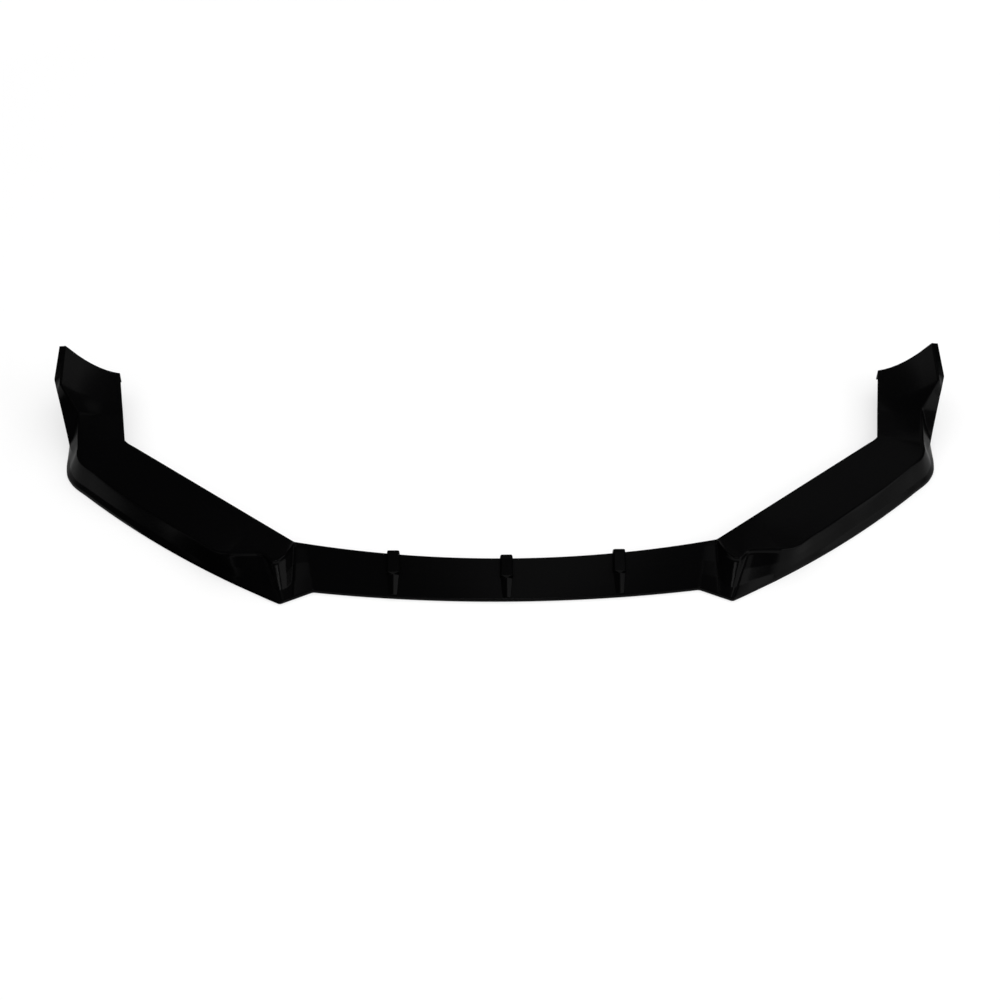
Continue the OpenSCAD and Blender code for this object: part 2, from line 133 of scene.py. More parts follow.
@dataclass
class LipGuide:
    """Guide curves of the lip in millimetres, measured from the middle of the strip's front edge."""

    # Wall, front edge and centre strip
    wall: float = 3.0
    edge_h: float = 7.0
    edge_lean: float = 0.5
    front_r: float = 2500.0
    seat_r: float = 2290.0
    strip_depth: float = 68.0
    strip_h: float = 46.0
    strip_half_w: float = 359.0
    strip_flare: float = 12.0
    strip_steps: int = 16
    strip_stops: tuple[float, ...] = (0, 0.06, 0.09, 0.4, 0.7)
    fin_pitch: float = 210.0

    # Fangs and raised pads; the stops and shares run from the strip outwards
    fang_x: float = 418.5
    fang_reach: float = 28.0
    fang_w: float = 4.0
    front_stops: tuple[float, ...] = (0.62, 0.66, 0.74, 0.82, 0.9, 0.95, 0.98)
    pad_x: float = 394.0
    pad_y: float = 71.5
    pad_h: float = 62.0
    pad_len: float = 50.0
    pad_lead: float = 12.5
    pad_rise: float = 1.0
    pad_round: float = 5.0
    pad_step: float = 8.0
    pad_steps: tuple[float, ...] = (1, 1, 1, 1, 1, 1.2, 1.4, 1, 1, 1)
    pad_seats: tuple[float, ...] = (0, 0.01, 0.025, 0.045, 0.07, 0.08, 0.09, 0.11, 0.14, 0.21)
    pad_lows: tuple[float, ...] = (0.05, 0.2)
    step_run: float = 2.0
    nose_x: float = 427.0
    nose_y: float = 51.0
    nose_w: float = 12.0
    nose_bend: float = 18.5
    nose_bend_depth: float = 0.28
    nose_turn: tuple[float, float] = (0.3, 0.38)
    nose_depths: tuple[float, ...] = (0.05, 0, 0.57, 0.77, 0.9, 1, 1)
    ridge_x: float = 449.5
    ridge_w: float = 4.0
    ridge_lead: float = 0.6

    # Side blades and corners
    seat_h: float = 57.0
    seat_len: float = 447.0
    sweep: float = 38.4
    side_r: float = 1900.0
    side_start: float = 28.5
    blade_run: float = 28.0
    blade_h: float = 43.0
    blade_step: float = 1.2
    blade_seats: tuple[float, ...] = (0.27, 0.4, 0.61, 0.83, 0.94)
    blade_lows: tuple[float, ...] = (0.28, 0.4, 0.61, 0.81, 0.93)
    blade_runs: tuple[float, ...] = (0.46, 0.7, 1)
    blade_falls: tuple[float, ...] = (0.2, 0.6, 1)
    corner_half_w: float = 863.5
    corner_r: float = 78.0
    corner_run: float = 25.0
    corner_h: float = 56.0
    corner_rise: float = 3.0
    corner_rises: tuple[float, ...] = (0.3, 0.7)
    corner_turns: tuple[float, ...] = (0.2, 0.6, 1)
    corner_foot: float = 0.1
    corner_bulge: float = 1.0
    wall_run: float = 31.0
    wall_splay: float = 3.5
    elbow_r: float = 22.0

    # Arms, folded rims and canards
    arm_reach: float = 585.0
    arm_w: float = 99.5
    arm_fall: float = 1.0
    dish: float = 14.0
    dish_front: float = 14.5
    dish_lead: float = 0.6
    crest_h: float = 130.0
    crest_front_h: float = 118.0
    crest_half_w: float = 880.0
    crest_w: float = 4.0
    crest_fall: float = 1.0
    crest_front_in: float = 5.0
    crest_lead: float = 22.0
    crest_bend: float = 0.2
    rim_w: float = 13.0
    rim_fall: float = 1.5
    canard_half_w: float = 894.0
    canard_y: float = 505.0
    canard_low_y: float = 390.0
    canard_low_h: float = 33.0
    canard_low_in: float = 7.5
    canard_foot: float = 0.85
    tip_drop: float = 9.0
    brow_y: float = 444.0
    brow_h: float = 75.0
    brow_in: float = 22.5
    brow_run: float = 5.0
    brow_rise: float = 8.0
    root_low: float = 6.0
    root_mid: float = 10.0
    root_high: float = 22.0
    root_share: float = 0.6
    edge_face: float = 14.0
    edge_face_lean: float = 0.4
    tail_h: float = 34.0

    # Lower flange, and how far the creases are rounded
    flange_mid: float = 92.0
    flange_side: float = 60.0
    flange_arm: float = 26.0
    crisp_roll: float = 1.2
    pad_roll: float = 4.0
    crest_roll: float = 2.0
    blade_roll: float = 2.5
    corner_roll: float = 14.0
    arm_roll: float = 0.75

    def __post_init__(self) -> None:
        """Work out the points that the guide curves hang on."""
        fang_y = self.strip_front_y(self.strip_half_w) - self.fang_reach
        self.fang_in = point(self.fang_x - self.fang_w / 2, fang_y, 0)
        self.fang_out = point(self.fang_x + self.fang_w / 2, fang_y, 0)
        self.corner_turn = 90 - self.wall_splay
        # The corner's arc starts where the side's arc has the same direction, found in a few tries.
        self.corner_x = self.corner_half_w - self.corner_r / 3
        for _ in range(CORNER_TRIES):
            turn = sin_deg(self.corner_turn) - sin_deg(self.side_angle(self.corner_x))
            self.corner_x = self.corner_half_w - self.corner_r * turn
        self.pad_end = point(self.pad_x, self.strip_rear_y(self.pad_x), self.seat_h + self.pad_rise)
        run = point(cos_deg(self.sweep), sin_deg(self.sweep), 0)
        self.elbow = self.pad_end + self.seat_len * run - point(0, 0, self.pad_rise)
        self.arm_end = point(self.crest_half_w - self.arm_w, self.arm_reach, self.seat_h - self.arm_fall)
        along = self.arm_end - self.elbow
        turn = 90 - self.sweep - math.degrees(math.atan2(along[0], along[1]))
        cut = self.elbow_r * math.tan(math.radians(turn / 2))
        self.elbow_in = self.elbow + unit(self.pad_end - self.elbow) * cut
        self.elbow_out_u = cut / float(np.linalg.norm(along))
        self.canard_tip = point(self.canard_half_w, self.canard_y, self.crest_front_h - self.tip_drop)
        self.canard_low = point(
            self.wall_at(self.canard_low_y)[0] - self.canard_low_in, self.canard_low_y, self.canard_low_h)
        self.crest_foot = point(self.corner_half_w - self.brow_in, self.brow_y, self.brow_h)
        self.crest_top = point(
            self.crest_half_w - self.crest_front_in, self.canard_y - self.crest_lead, self.crest_front_h)
        self.crest_end = point(self.crest_half_w, self.arm_reach, self.crest_h)
        self.strip_corner = point(self.strip_half_w, self.strip_front_y(self.strip_half_w), 0)
        self.middle_y = (min(0.0, fang_y) + self.arm_reach) / 2

    def strip_front_y(self, x: float) -> float:
        """Depth of the strip's front edge at a distance from the centre line."""
        return self.front_r - math.sqrt(self.front_r ** 2 - x * x)

    def strip_rear_y(self, x: float) -> float:
        """Depth of the strip's rear edge at a distance from the centre line."""
        return self.strip_depth + self.seat_r - math.sqrt(self.seat_r ** 2 - x * x)

    def side_angle(self, x: float) -> float:
        """Angle of the side's lower edge in degrees."""
        return math.degrees(math.asin(sin_deg(self.side_start) + (x - self.fang_out[0]) / self.side_r))

    def blade_x(self, u: float) -> float:
        """Distance from the centre line at a share of the way from fang to corner."""
        return mix(self.fang_out[0], self.corner_x, u)

    def side_point(self, x: float) -> np.ndarray:
        """Point on the side's lower edge."""
        rise = cos_deg(self.side_start) - cos_deg(self.side_angle(x))
        return point(x, self.fang_out[1] + self.side_r * rise, 0)

    def corner_at(self, u: float) -> np.ndarray:
        """Point on the corner's arc, from its start at 0 to its end at 1.

        Args:
            u: Share of the way round the arc.

        Returns:
            The point.
        """
        a = self.side_angle(self.corner_x)
        b = mix(a, self.corner_turn, u)
        return self.side_point(self.corner_x) + self.corner_r * point(
            sin_deg(b) - sin_deg(a), cos_deg(a) - cos_deg(b), 0)

    def wall_at(self, y: float) -> np.ndarray:
        """Point on the bottom edge of the lower side wall.

        Args:
            y: Distance behind the middle of the strip's front edge.

        Returns:
            The point.
        """
        start = self.corner_at(1)
        u = max(0.0, (y - self.brow_y) / (self.arm_reach - self.brow_y))
        splay = math.tan(math.radians(self.wall_splay))
        return point(start[0] + (y - start[1]) * splay, y, self.tail_h * u * u)

    def seat_at(self, u: float) -> np.ndarray:
        """Point on the swept inner edge."""
        return mix(self.pad_end, self.elbow, u)

    def arm_at(self, u: float) -> np.ndarray:
        """Point on the arm's inner edge."""
        return mix(self.elbow, self.arm_end, u)

    def arm_u(self, y: float) -> float:
        """Share of the way from the corner to the wheel-arch cut."""
        start = self.corner_at(1)[1]
        return (y - start) / (self.arm_reach - start)

    def arm_sag(self, u: float) -> float:
        """Depth of the dish at a share of the way along the arm.

        Args:
            u: Share of the way along the arm.

        Returns:
            The depth in millimetres.
        """
        crest_u = self.arm_u(self.crest_top[1])
        if u < crest_u:
            return self.dish_lead * self.dish_front * u / crest_u
        return mix(self.dish_front, self.dish, (u - crest_u) / (1 - crest_u))

    def canard_edge(self, y: float) -> np.ndarray:
        """Point on the canard's outer edge."""
        u = (y - self.canard_low_y) / (self.canard_y - self.canard_low_y)
        return mix(self.canard_low, self.canard_tip, u)

    def brow_line(self, y: float) -> np.ndarray:
        """Point on the canard's inner edge below the ridge."""
        u = (y - self.canard_low_y) / (self.brow_y - self.canard_low_y)
        return mix(self.canard_low, self.crest_foot, u)

    def strip_rear(self, x: float) -> np.ndarray:
        """Point on the strip's rear edge, which rises towards the pads."""
        share = x ** 2 / self.pad_x ** 2
        return point(x, self.strip_rear_y(x), mix(self.strip_h, self.seat_h + self.pad_rise, share))

    def strip_row(self, x_rear: float, low: np.ndarray) -> KeyRow:
        """Key section of the centre strip.

        Args:
            x_rear: Distance from the centre line at the rear edge.
            low: Point on the front edge.

        Returns:
            The key section.
        """
        rear = self.strip_rear(x_rear)
        top = low + point(0, self.edge_lean, self.edge_h)
        stops = [mix(rear, top, u) for u in self.strip_stops]
        return KeyRow(np.array([*stops, low]), 0, self.flange_mid, self.crisp_roll, True)

    def side_row(self, seat: np.ndarray, crease: np.ndarray, low: np.ndarray, step: float, roll: float,
                 sharp: bool = False) -> KeyRow:
        """Key section of a pad or a side blade.

        Args:
            seat: Point on the inner edge.
            crease: Point on the crease.
            low: Point on the lower edge.
            step: Drop just outboard of the crease.
            roll: Reach of the crease's rounding onto the plateau.
            sharp: Whether the guide curves turn abruptly here.

        Returns:
            The key section.
        """
        foot = crease + unit(flat(low - crease)) * self.step_run - point(0, 0, step)
        return KeyRow(np.array([seat, crease, *thirds(foot, low)]), 0, self.flange_side, roll, sharp)

    def pad_row(self, seat_u: float, x: float, y: float, low: np.ndarray, step: float) -> KeyRow:
        """Key section through a raised pad, whose edge stands a step above the blade."""
        return self.side_row(self.seat_at(seat_u), point(x, y, self.pad_h), low, step, self.pad_roll, True)

    def blade_row(self, seat_u: float, blade_u: float, run: float, height: float, roll: float,
                  step: float) -> KeyRow:
        """Key section through a side blade, whose crease stands a run inside the lower edge.

        Args:
            seat_u: Share of the way along the inner edge.
            blade_u: Share of the way along the lower edge.
            run: How far the crease stands inside the lower edge.
            height: Height of the crease.
            roll: Reach of the crease's rounding onto the plateau.
            step: Drop just outboard of the crease.

        Returns:
            The key section.
        """
        x = self.blade_x(blade_u)
        low = self.side_point(x)
        a = self.side_angle(x)
        crease = point(low[0] - run * sin_deg(a), low[1] + run * cos_deg(a), height)
        return self.side_row(self.seat_at(seat_u), crease, low, step, roll)

    def corner_row(self, seat: np.ndarray, turn_u: float, run: float, height: float) -> KeyRow:
        """Key section through the corner.

        Args:
            seat: Point on the inner edge.
            turn_u: Share of the way round the corner's arc.
            run: How far the crease stands inside the lower edge.
            height: Height of the crease.

        Returns:
            The key section.
        """
        low = self.corner_at(turn_u)
        a = mix(self.side_angle(self.corner_x), self.corner_turn, turn_u)
        crease = point(low[0] - run * sin_deg(a), low[1] + run * cos_deg(a), height)
        foot = mix(crease, low, self.corner_foot) + point(0, 0, self.corner_bulge)
        return KeyRow(np.array([seat, crease, *thirds(foot, low)]), 0, self.flange_side, self.corner_roll)

    def arm_row(self, y: float, crease: np.ndarray, foot: np.ndarray, edge: np.ndarray, root: np.ndarray,
                roll: float, sharp: bool) -> KeyRow:
        """Key section through an arm and its canard.

        Args:
            y: Distance behind the middle of the strip's front edge.
            crease: Point on the crease, or on the crest further back.
            foot: Point just outboard of it.
            edge: Point on the canard's outer edge.
            root: Point where the canard's underside meets the side wall.
            roll: Reach of the crease's rounding onto the arm.
            sharp: Whether the guide curves turn abruptly here.

        Returns:
            The key section.
        """
        u = self.arm_u(y)
        points = [self.arm_at(mix(self.elbow_out_u, 1, u)), crease, foot, edge, root, self.wall_at(y)]
        flange = mix(self.flange_side, self.flange_arm, u)
        return KeyRow(np.array(points), self.arm_sag(u), flange, roll, sharp)

    def middle_rows(self) -> list[KeyRow]:
        """Key sections of half the centre strip, up to the pad.

        Returns:
            The sections, from the centre line outwards.
        """
        rows = []
        for i in range(self.strip_steps + 1):
            u = i / self.strip_steps
            x = u * self.strip_half_w
            rear_x = u * (self.strip_half_w + self.strip_flare)
            rows.append(self.strip_row(rear_x, point(x, self.strip_front_y(x), 0)))
        end = mix(self.strip_corner, self.fang_in, self.front_stops[0])
        rows.append(self.strip_row(self.pad_x - self.pad_round / 2, end))
        return rows

    def pad_rows(self) -> list[KeyRow]:
        """Key sections round the pad's nose and along its front edge.

        Returns:
            The sections, from the strip outwards.
        """
        side_x, side_y = self.pad_x + self.pad_round / 4, self.pad_end[1] - self.pad_round
        bend_x = self.nose_x - self.nose_bend
        bend_y = mix(self.nose_y, self.pad_end[1], self.nose_bend_depth)
        turn_x, turn_y = self.nose_turn
        half_nose, half_ridge = self.nose_w / 2, self.ridge_w / 2
        far_x, start = self.nose_x + half_nose, self.ridge_x + self.pad_lead
        across = [side_x, mix(side_x, bend_x, turn_x), bend_x, self.nose_x - half_nose, far_x,
                  mix(far_x, self.ridge_x, self.ridge_lead), self.ridge_x - half_ridge,
                  self.ridge_x + half_ridge, start, start + self.pad_len]
        along = [side_y, mix(side_y, bend_y, turn_y), bend_y]
        along += [mix(self.nose_y, self.pad_y, u) for u in self.nose_depths]
        lows = [mix(self.strip_corner, self.fang_in, u) for u in self.front_stops[1:]]
        lows += [self.fang_in, self.fang_out]
        lows += [self.side_point(self.blade_x(u)) for u in self.pad_lows]
        steps = [self.pad_step * k for k in self.pad_steps]
        return [self.pad_row(*row) for row in zip(self.pad_seats, across, along, lows, steps)]

    def blade_rows(self) -> list[KeyRow]:
        """Key sections of the side blade and the corner.

        Returns:
            The sections, from the pad outwards.
        """
        runs = [self.blade_run * k for k in self.blade_runs]
        runs += [mix(self.blade_run, self.corner_run, u) for u in (0.5, 1)]
        heights = [mix(self.pad_h, self.blade_h, u) for u in self.blade_falls]
        heights += [mix(self.blade_h, self.corner_h, u) for u in self.corner_rises]
        rolls = [self.blade_roll] * len(self.blade_falls) + [self.corner_roll] * len(self.corner_rises)
        steps = [self.pad_step / 2] + [self.blade_step] * (len(runs) - 1)
        blades = zip(self.blade_seats, self.blade_lows, runs, heights, rolls, steps)
        elbows = (self.elbow_in, self.arm_at(self.elbow_out_u / 2), self.arm_at(self.elbow_out_u))
        corners = [self.corner_row(elbow, turn, mix(self.corner_run, self.wall_run, k / 2),
                                   self.corner_h + k * self.corner_rise)
                   for k, (elbow, turn) in enumerate(zip(elbows, self.corner_turns))]
        return [self.blade_row(*blade) for blade in blades] + corners

    def arm_rows(self) -> list[KeyRow]:
        """Key sections of the arm, the canard and the folded rim.

        Returns:
            The sections, from the corner back to the wheel-arch cut.
        """
        low_y, brow_y = self.canard_low_y, self.brow_y
        mid_y = (low_y + brow_y) / 2
        brow_low = point(self.crest_foot[0] - self.brow_run, low_y, self.brow_h - self.brow_rise)
        crest_mid = mix(self.crest_top, self.crest_end, self.crest_bend)
        rim_end = self.crest_end + point(self.rim_w, 0, -self.rim_fall)
        rim_drop = point(self.crest_w, 0, -self.crest_fall)
        face = point(self.edge_face * self.edge_face_lean, 0, self.edge_face)

        def root_under(edge: np.ndarray, foot: np.ndarray, drop: float) -> np.ndarray:
            """Point where the canard's underside meets the side wall."""
            return mix(edge, foot, self.root_share) - point(0, 0, drop)

        mid_edge, mid_foot = self.canard_edge(mid_y), self.brow_line(mid_y)
        brow_edge, top_y = self.canard_edge(brow_y), self.crest_top[1]
        roll = self.corner_roll * self.arm_roll
        rims = ((top_y, self.crest_top, self.canard_edge(top_y)), (self.canard_y, crest_mid, self.canard_tip),
                (self.arm_reach, self.crest_end, rim_end))
        return [
            self.arm_row(low_y, brow_low, mix(brow_low, self.canard_low, self.canard_foot), self.canard_low,
                         root_under(self.canard_low, self.canard_low, self.root_low), roll, True),
            self.arm_row(mid_y, mix(brow_low, self.crest_foot, 0.5), mid_foot, mid_edge,
                         root_under(mid_edge, mid_foot, self.root_mid), roll / 2, False),
            self.arm_row(brow_y, self.crest_foot, self.crest_foot + rim_drop, brow_edge,
                         root_under(brow_edge, self.crest_foot, self.root_high), self.crest_roll, True),
            *[self.arm_row(y, crest, crest + rim_drop, edge, edge - face, self.crest_roll, True)
              for y, crest, edge in rims],
        ]

    def rows(self) -> list[KeyRow]:
        """Every key section of one half, from the centre line to the wheel-arch cut."""
        return self.middle_rows() + self.pad_rows() + self.blade_rows() + self.arm_rows()


@dataclass
class Skin:
    """Sections of the whole lip, from the left wheel-arch cut to the right one, in millimetres."""

    guides: np.ndarray
    sag: np.ndarray
    flange: np.ndarray
    roll: np.ndarray


def relax(rows: np.ndarray) -> None:
    """Draw each row but the first and the last halfway to the mean of its neighbours, in place."""
    rows[1:-1] = rows[1:-1] * 0.5 + (rows[:-2] + rows[2:]) * 0.25


@dataclass
class SkinSampler:
    """Runs smooth curves through the key sections and relaxes them a little, as a mould's edges are."""

    guide: LipGuide
    pitch: float = 2.5
    relax_passes: int = 2

    def span(self, rows: list[KeyRow], i: int, u: float) -> np.ndarray:
        """Guide points at a share of the way between two key sections.

        Args:
            rows: All key sections of one half.
            i: Number of the section that the span starts at.
            u: Share of the way to the next section.

        Returns:
            Six guide points.
        """
        here, ahead = rows[i], rows[i + 1]
        w = 1 - u
        length = np.linalg.norm(ahead.points - here.points, axis=1, keepdims=True)
        start, end = self.direction(rows, i, True), self.direction(rows, i + 1, False)
        return (here.points * w * w * (1 + 2 * u) + ahead.points * u * u * (1 + 2 * w)
                + (start * w - end * u) * length * u * w)

    @staticmethod
    def direction(rows: list[KeyRow], i: int, leaving: bool) -> np.ndarray:
        """Direction of the guide curves at a key section, on the side that a span needs.

        Args:
            rows: All key sections of one half.
            i: Number of the section.
            leaving: Whether the span starts there, rather than ends.

        Returns:
            Six directions.
        """
        if rows[i].sharp or i in (0, len(rows) - 1):
            a, b = (i, i + 1) if leaving else (i - 1, i)
            return unit(rows[b].points - rows[a].points)
        before = rows[i].points - rows[i - 1].points
        after = rows[i + 1].points - rows[i].points
        lb = np.linalg.norm(before, axis=1, keepdims=True)
        la = np.linalg.norm(after, axis=1, keepdims=True)
        return (before / lb * la + after / la * lb) / (la + lb)

    def sample(self) -> Skin:
        """Sample both halves at a close pitch and relax the abrupt turns.

        Returns:
            The sections from the left cut to the right one.
        """
        rows = self.guide.rows()
        stack, numbers = [], []
        for i in range(len(rows) - 1):
            longest = np.linalg.norm(rows[i + 1].points - rows[i].points, axis=1).max()
            steps = max(1, round(longest / self.pitch))
            for k in range(steps):
                u = k / steps
                stack.append(self.span(rows, i, u))
                numbers.append([mix(getattr(rows[i], name), getattr(rows[i + 1], name), u)
                                for name in ("sag", "flange", "roll")])
        last = rows[-1]
        stack.append(last.points)
        numbers.append([last.sag, last.flange, last.roll])
        half, values = np.array(stack), np.array(numbers)
        mirror = np.array([-1.0, 1.0, 1.0])
        guides = np.concatenate([half[:0:-1] * mirror, half])
        values = np.concatenate([values[:0:-1], values])
        for _ in range(self.relax_passes):
            relax(guides)
            relax(values)
        return Skin(guides, values[:, 0], values[:, 1], values[:, 2])


def rounded(corners: np.ndarray, before: np.ndarray, after: np.ndarray, steps: list[int]) -> np.ndarray:
    """Round the corners of a stack of closed sections.

    Args:
        corners: Sections by corners by 3.
        before: How far each corner's rounding reaches back along the section.
        after: How far it reaches ahead.
        steps: Pieces in each corner's curve, or 0 for a point that stays.

    Returns:
        Sections by points by 3.
    """
    count = corners.shape[1]
    out = []
    for j in range(count):
        here = corners[:, j]
        if steps[j] == 0:
            out.append(here)
            continue
        back = corners[:, j - 1] - here
        ahead = corners[:, (j + 1) % count] - here
        back_len = np.linalg.norm(back, axis=1, keepdims=True)
        ahead_len = np.linalg.norm(ahead, axis=1, keepdims=True)
        start = here + back / back_len * np.minimum(before[:, j:j + 1], ROUND_LIMIT * back_len)
        end = here + ahead / ahead_len * np.minimum(after[:, j:j + 1], ROUND_LIMIT * ahead_len)
        for k in range(steps[j] + 1):
            u = k / steps[j]
            out.append(start * (1 - u) ** 2 + here * 2 * u * (1 - u) + end * u * u)
    return np.stack(out, axis=1)


def loft_mesh(name: str, rings: list[np.ndarray]) -> bpy.types.Mesh:
    """Closed mesh through rings that have the same number of points.

    Args:
        name: Name of the mesh.
        rings: Rings of points in millimetres, in the lip's own frame.

    Returns:
        The mesh, in metres, with its normals outwards.
    """
    bm = bmesh.new()
    grid = [[bm.verts.new(Vector(p) * MM) for p in ring] for ring in rings]
    count = len(rings[0])
    for near, far in zip(grid, grid[1:]):
        for j in range(count):
            k = (j + 1) % count
            bm.faces.new((near[j], near[k], far[k], far[j]))
    for ring in (grid[0], grid[-1]):
        for corners in tessellate_polygon([[v.co for v in ring]]):
            bm.faces.new([ring[k] for k in corners])
    bmesh.ops.recalc_face_normals(bm, faces=bm.faces)
    mesh = bpy.data.meshes.new(name)
    bm.to_mesh(mesh)
    bm.free()
    return mesh


def softened(mesh: bpy.types.Mesh, width: float, segments: int = 2) -> None:
    """Bevel every edge of a small solid.

    Args:
        mesh: The solid's mesh.
        width: Width of the bevel in millimetres.
        segments: Pieces across the bevel.
    """
    bm = bmesh.new()
    bm.from_mesh(mesh)
    bmesh.ops.bevel(bm, geom=list(bm.edges), offset=width * MM, segments=segments, profile=0.5,
                    affect="EDGES", clamp_overlap=True)
    bmesh.ops.recalc_face_normals(bm, faces=bm.faces)
    bm.to_mesh(mesh)
    bm.free()


def new_object(name: str, mesh: bpy.types.Mesh) -> bpy.types.Object:
    """Put a mesh into the scene.

    Args:
        name: Name of the object.
        mesh: Its mesh.

    Returns:
        The object, linked.
    """
    obj = bpy.data.objects.new(name, mesh)
    bpy.context.collection.objects.link(obj)
    return obj


def joined(name: str, meshes: list[bpy.types.Mesh]) -> bpy.types.Object:
    """One object that holds several separate solids.

    Args:
        name: Name of the object.
        meshes: The solids' meshes, which are used up.

    Returns:
        The object.
    """
    bm = bmesh.new()
    for mesh in meshes:
        bm.from_mesh(mesh)
        bpy.data.meshes.remove(mesh)
    whole = bpy.data.meshes.new(name)
    bm.to_mesh(whole)
    bm.free()
    return new_object(name, whole)


class Cut(Enum):
    """How one solid is put together with another."""

    ADD = "UNION"
    TAKE = "DIFFERENCE"


def combine(target: bpy.types.Object, tool: bpy.types.Object, how: Cut) -> None:
    """Add a tool solid to a target or take it away, and remove the tool.

    Args:
        target: The object that changes.
        tool: The object that is used up.
        how: Whether the tool is added or taken away.
    """
    modifier = target.modifiers.new("combine", "BOOLEAN")
    modifier.operation = how.value
    modifier.solver = "MANIFOLD"
    modifier.object = tool
    graph = bpy.context.evaluated_depsgraph_get()
    result = bpy.data.meshes.new_from_object(target.evaluated_get(graph))
    target.modifiers.clear()
    old = target.data
    target.data = result
    bpy.data.meshes.remove(old)
    bpy.data.objects.remove(tool)


@dataclass
class Fins:
    """The three upright fins of the centre strip, each a block with a keel in front of it."""

    guide: LipGuide
    block_w: float = 23.0
    block_h: float = 11.0
    block_lift: float = 2.0
    block_dip: float = 2.0
    keel_w: float = 14.0
    keel_h: float = 5.0
    keel_top: float = 2.0
    slope: float = 5.0
    bevel: float = 2.0
    skirt: float = 1.0
    block_share: float = 0.45
    keel_share: float = 0.5
    toe_share: float = 0.96
    toe_h: float = 1.0
    tab: float = 5.0
    tab_drop: float = 1.5
    edge_r: float = 1.0

    def solid(self, x: float) -> bpy.types.Mesh:
        """One fin.

        Args:
            x: Its distance from the centre line.

        Returns:
            Its closed mesh.
        """
        guide = self.guide
        rear = guide.strip_rear(x)
        slope = point(x, guide.strip_front_y(x) + guide.edge_lean, guide.edge_h) - rear
        reach = float(np.linalg.norm(slope))
        down = slope / reach
        out = unit(np.cross([1.0, 0.0, 0.0], -down))

        def ring(t: float, shoulder: float, shoulder_h: float, top: float, height: float) -> np.ndarray:
            """Six-sided ring square to the strip.

            Args:
                t: Distance down the strip from its rear edge.
                shoulder: Width at the shoulders.
                shoulder_h: Height of the shoulders over the strip.
                top: Width of the top face.
                height: Height of the top face over the strip.

            Returns:
                Six points.
            """
            half = [(shoulder / 2 + self.skirt, -guide.wall / 2), (shoulder / 2, shoulder_h),
                    (top / 2, height)]
            ends = [(-x, y) for x, y in half] + half[::-1]
            return np.array([rear + down * t + point(a, 0, 0) + out * b for a, b in ends])

        top_w, bevel = self.block_w - self.slope, self.bevel
        shoulder_h = self.block_h - bevel
        mesh = loft_mesh("fin", [
            ring(reach * self.toe_share, self.keel_w, self.toe_h, self.keel_top, self.keel_h),
            ring(reach * self.keel_share, self.block_w - bevel, bevel, self.keel_top, shoulder_h),
            ring(reach * self.block_share, self.block_w, shoulder_h + self.block_lift, top_w,
                 self.block_h + self.block_lift),
            ring(bevel, self.block_w, shoulder_h - self.block_dip, top_w, self.block_h - self.block_dip),
            ring(-self.tab, self.block_w - bevel, shoulder_h - bevel, top_w - bevel,
                 self.block_h - self.tab_drop),
        ])
        softened(mesh, self.edge_r)
        return mesh

    def solids(self) -> list[bpy.types.Mesh]:
        """All three fins."""
        return [self.solid(k * self.guide.fin_pitch) for k in (-1, 0, 1)]


